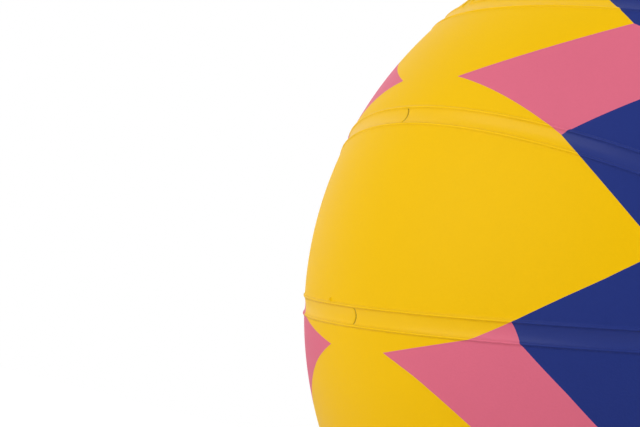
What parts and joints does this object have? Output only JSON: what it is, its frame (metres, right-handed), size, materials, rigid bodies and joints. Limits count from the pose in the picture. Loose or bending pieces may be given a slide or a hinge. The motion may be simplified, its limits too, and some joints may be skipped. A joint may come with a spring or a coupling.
{
  "type": "water polo ball",
  "caption": "Inflatable water polo ball: moulded rubber cover of coloured panels with channelled seams over a thread winding and a bladder, with a removable valve core.",
  "frame": {"origin": "centre of the ball", "axes": "+Z through the valve, out of the ball; -Y out of the front face; +X along the front face's strips"},
  "size_m": [0.22, 0.22, 0.2199],
  "materials": {
    "cover_yellow": "semi-matte moulded rubber with a fine grain",
    "cover_pink": "semi-matte moulded rubber with a fine grain",
    "cover_blue": "semi-matte moulded rubber with a fine grain",
    "winding": "wound nylon thread set in latex",
    "bladder": "smooth black butyl rubber",
    "valve_body": "matte moulded rubber",
    "valve_core": "smooth moulded rubber"
  },
  "bodies": {
    "ball": {"bladder": "bladder", "cover_blue_back_left_bottom": "cover_blue", "cover_blue_back_left_top": "cover_blue", "cover_blue_back_right_bottom": "cover_blue", "cover_blue_back_right_top": "cover_blue", "cover_blue_front_left_bottom": "cover_blue", "cover_blue_front_left_top": "cover_blue", "cover_blue_front_right_bottom": "cover_blue", "cover_blue_front_right_top": "cover_blue", "cover_pink_back_left_bottom": "cover_pink", "cover_pink_back_left_top": "cover_pink", "cover_pink_back_right_bottom": "cover_pink", "cover_pink_back_right_top": "cover_pink", "cover_pink_bottom_back_left": "cover_pink", "cover_pink_bottom_back_right": "cover_pink", "cover_pink_bottom_front_left": "cover_pink", "cover_pink_bottom_front_right": "cover_pink", "cover_pink_front_left_bottom": "cover_pink", "cover_pink_front_left_top": "cover_pink", "cover_pink_front_right_bottom": "cover_pink", "cover_pink_front_right_top": "cover_pink", "cover_pink_left_bottom_back": "cover_pink", "cover_pink_left_bottom_front": "cover_pink", "cover_pink_left_top_back": "cover_pink", "cover_pink_left_top_front": "cover_pink", "cover_pink_right_bottom_back": "cover_pink", "cover_pink_right_bottom_front": "cover_pink", "cover_pink_right_top_back": "cover_pink", "cover_pink_right_top_front": "cover_pink", "cover_pink_top_back_left": "cover_pink", "cover_pink_top_back_right": "cover_pink", "cover_pink_top_front_left": "cover_pink", "cover_pink_top_front_right": "cover_pink", "cover_yellow_back": "cover_yellow", "cover_yellow_bottom": "cover_yellow", "cover_yellow_front": "cover_yellow", "cover_yellow_left": "cover_yellow", "cover_yellow_right": "cover_yellow", "cover_yellow_top": "cover_yellow", "valve_body": "valve_body", "valve_patch": "bladder", "winding": "winding"},
    "valve_core": {"valve_core": "valve_core"}
  },
  "joints": [
    {"name": "valve_core_pull", "type": "slide", "parent": "ball", "child": "valve_core", "axis": [0, 0, 1], "range_m": [0, 0.024]}
  ]
}
